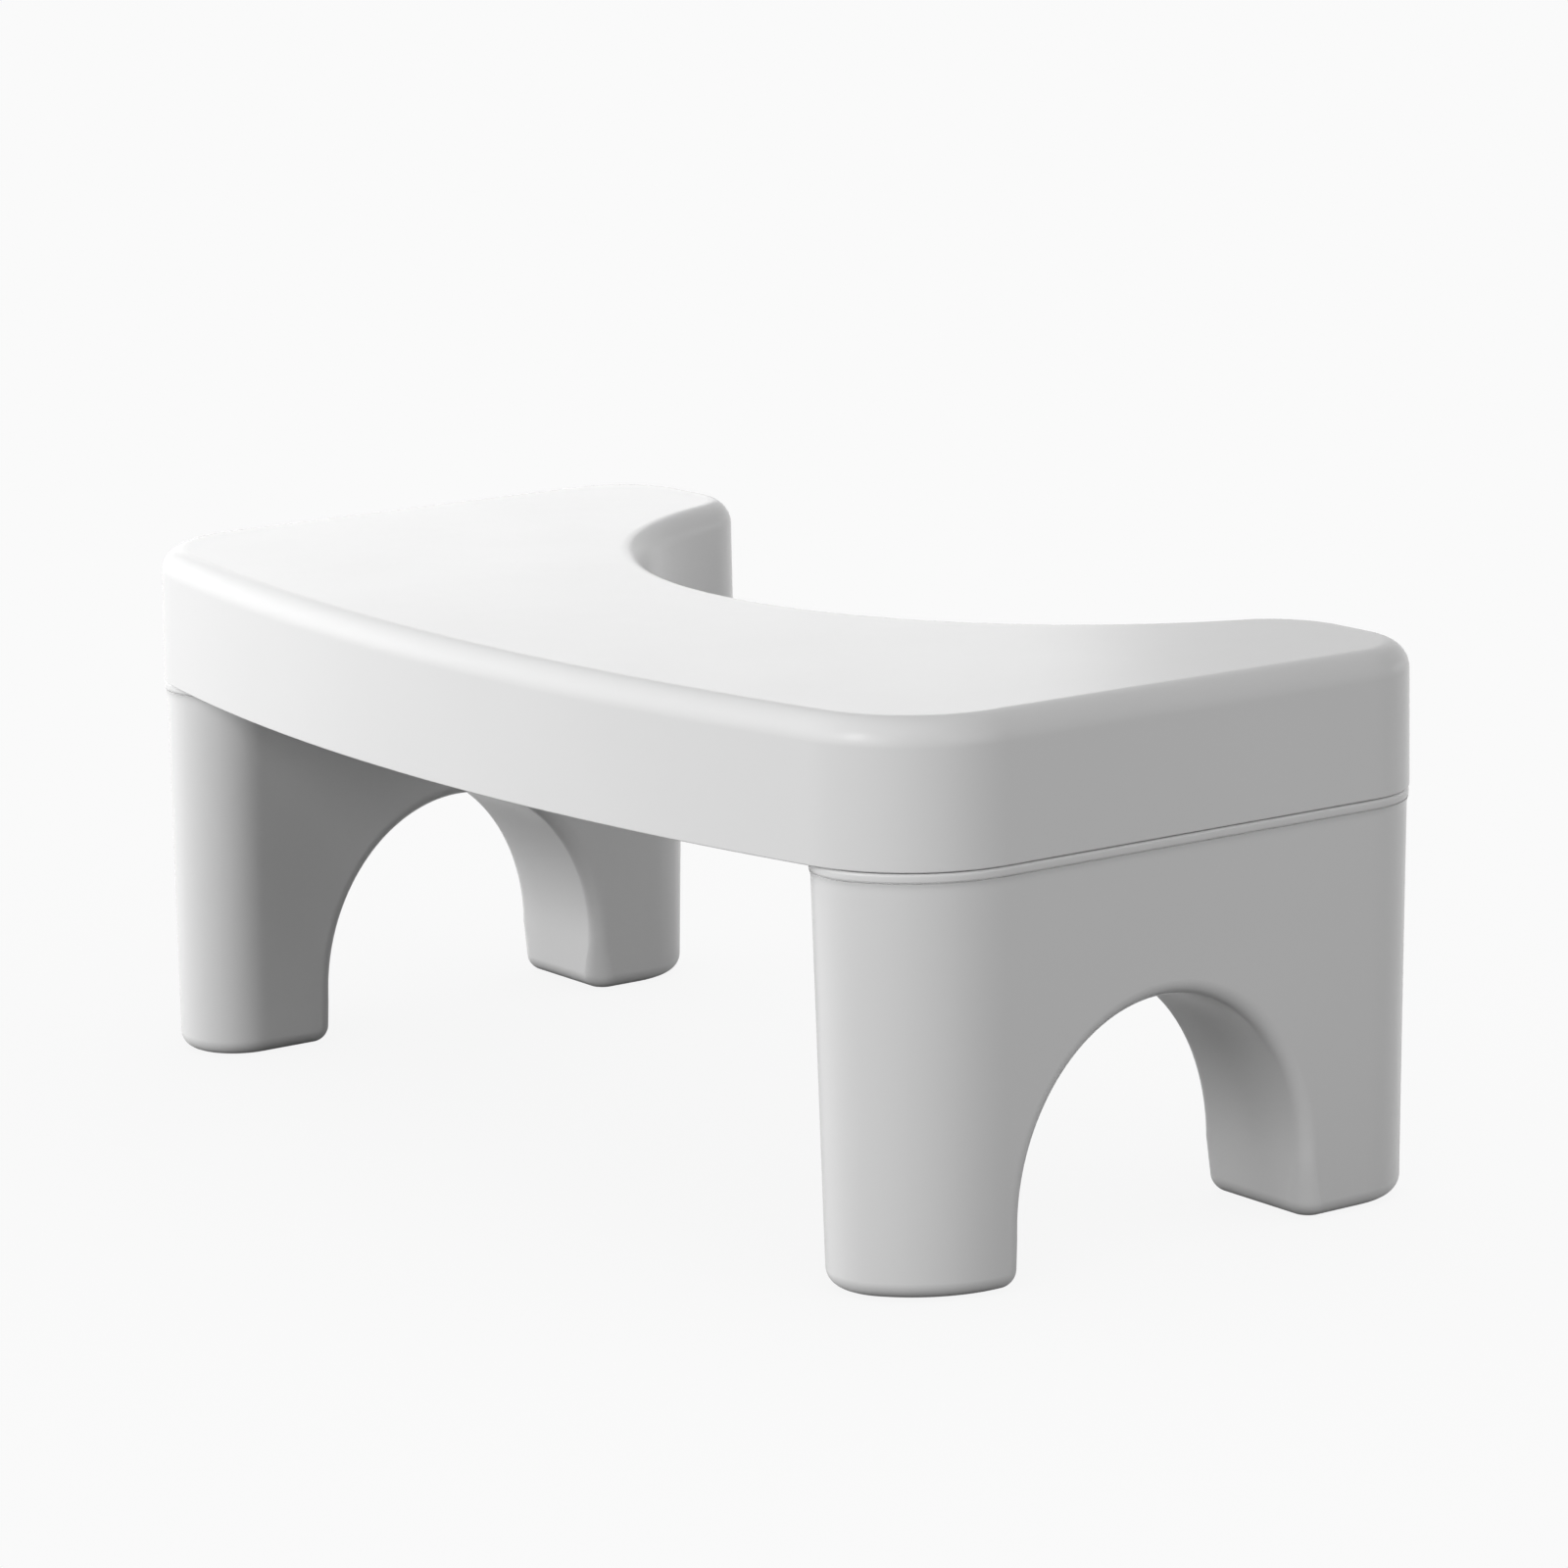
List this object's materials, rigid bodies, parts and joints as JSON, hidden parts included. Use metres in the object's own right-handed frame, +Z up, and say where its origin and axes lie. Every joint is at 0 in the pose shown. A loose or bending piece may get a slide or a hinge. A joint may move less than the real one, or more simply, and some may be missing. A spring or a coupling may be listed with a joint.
{
  "type": "toilet footstool",
  "caption": "Step stool for use at a toilet: a deck with a convex front and a deep rounded cutout at the rear, on hollow arch-shaped legs that push up into sockets.",
  "frame": {"origin": "middle of the footprint on the floor, at the underside of the foot pads", "axes": "+X along the stool towards its right end as seen from the convex front, +Z up, and the convex front edge faces -Y"},
  "size_m": [0.406, 0.226, 0.165],
  "materials": {
    "deck_plastic": "white polypropylene, satin with soft highlights",
    "leg_plastic": "white polypropylene, satin with soft highlights",
    "pad_rubber": "soft grey rubber, matt"
  },
  "bodies": {
    "deck_body": {"deck": "deck_plastic"},
    "left_leg_body": {"left_leg": "leg_plastic", "left_front_pad": "pad_rubber", "left_rear_pad": "pad_rubber"},
    "right_leg_body": {"right_leg": "leg_plastic", "right_front_pad": "pad_rubber", "right_rear_pad": "pad_rubber"}
  },
  "joints": [
    {"name": "left_leg_pull", "type": "slide", "parent": "deck_body", "child": "left_leg_body", "axis": [0, 0, -1], "range_m": [0, 0.03]},
    {"name": "right_leg_pull", "type": "slide", "parent": "deck_body", "child": "right_leg_body", "axis": [0, 0, -1], "range_m": [0, 0.03]}
  ]
}
